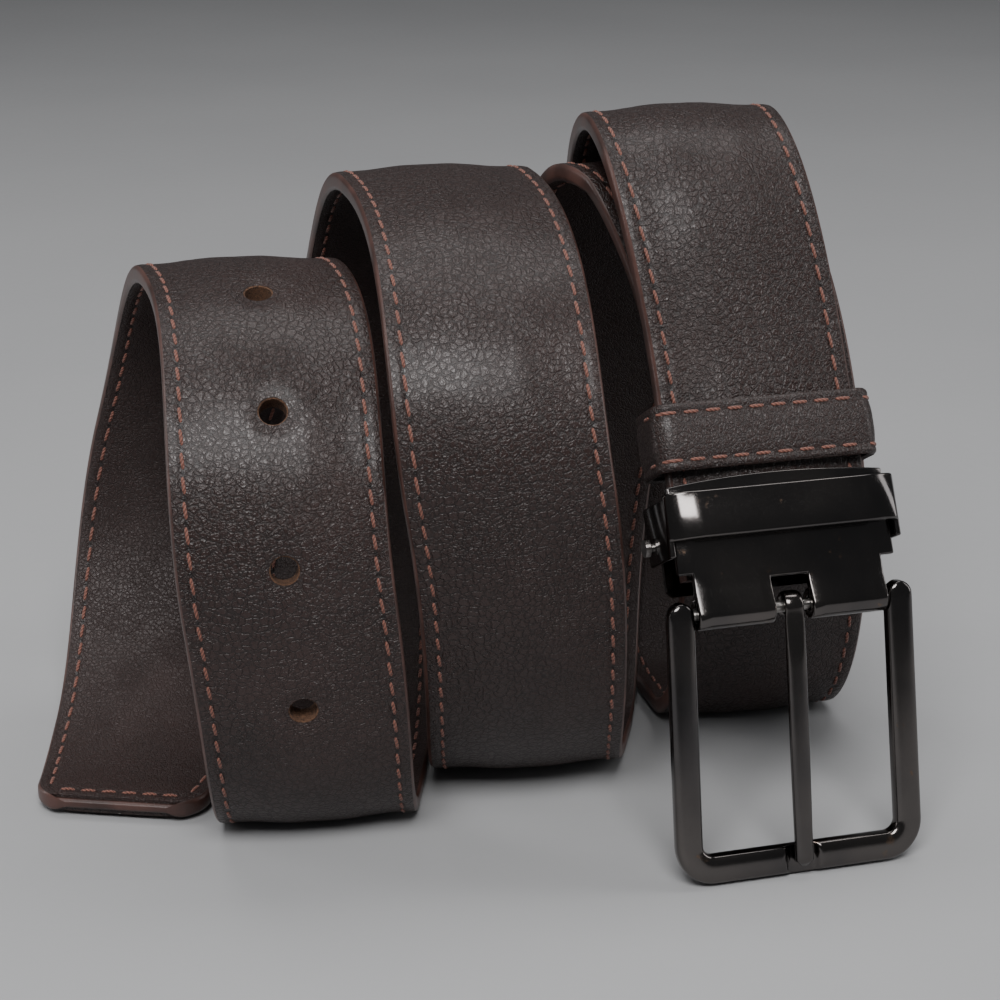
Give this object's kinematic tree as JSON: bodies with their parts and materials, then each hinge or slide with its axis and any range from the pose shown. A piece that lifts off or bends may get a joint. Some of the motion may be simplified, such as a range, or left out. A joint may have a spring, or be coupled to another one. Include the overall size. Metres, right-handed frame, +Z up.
{
  "type": "leather belt",
  "caption": "Coiled leather dress belt with stitched edges, punched holes, a leather keeper and a metal clamp buckle with a swinging frame and prong.",
  "frame": {"origin": "on the floor, in the middle of the flat stretch where the middle turn of the coil rests", "axes": "+X along the coil from the strap's tip to the buckle, -Y towards the side where the buckle hangs, +Z up"},
  "size_m": [0.1563, 0.1124, 0.1191],
  "materials": {
    "face_leather": "satin pebbled grain, dark espresso brown",
    "lining_leather": "finely wrinkled, dark brown",
    "padding_felt": "pressed felt",
    "thread": "twisted red-brown thread",
    "gunmetal": "polished dark gunmetal plating",
    "pin_steel": "plain steel"
  },
  "bodies": {
    "belt": {"strap_face": "face_leather", "strap_padding": "padding_felt", "strap_lining": "lining_leather", "face_stitching": "thread", "lining_stitching": "thread", "clamp_plate": "gunmetal", "clamp_bar": "gunmetal", "flap_pin_left": "pin_steel", "flap_pin_right": "pin_steel", "cross_pin": "pin_steel"},
    "frame": {"buckle_frame": "gunmetal"},
    "tongue": {"prong": "gunmetal"},
    "flap": {"clamp_flap": "gunmetal"},
    "keeper": {"keeper_loop": "face_leather", "keeper_stitch_upper": "thread", "keeper_stitch_lower": "thread", "keeper_staple": "pin_steel"}
  },
  "joints": [
    {"name": "frame_swing", "type": "hinge", "parent": "belt", "child": "frame", "pos_m": [0.04173, -0.038, 0.0452], "axis": [-0.9659, -0.2588, 0], "range_deg": [-15, 90]},
    {"name": "prong_swing", "type": "hinge", "parent": "frame", "child": "tongue", "pos_m": [0.04173, -0.038, 0.0452], "axis": [-0.9659, -0.2588, 0], "range_deg": [0, 45]},
    {"name": "flap_swing", "type": "hinge", "parent": "belt", "child": "flap", "pos_m": [0.0385, -0.02593, 0.05277], "axis": [0.9659, 0.2588, 0], "range_deg": [0, 45]},
    {"name": "keeper_slide", "type": "slide", "parent": "belt", "child": "keeper", "axis": [-0.1294, 0.483, 0.866], "range_m": [0, 0.008]}
  ]
}
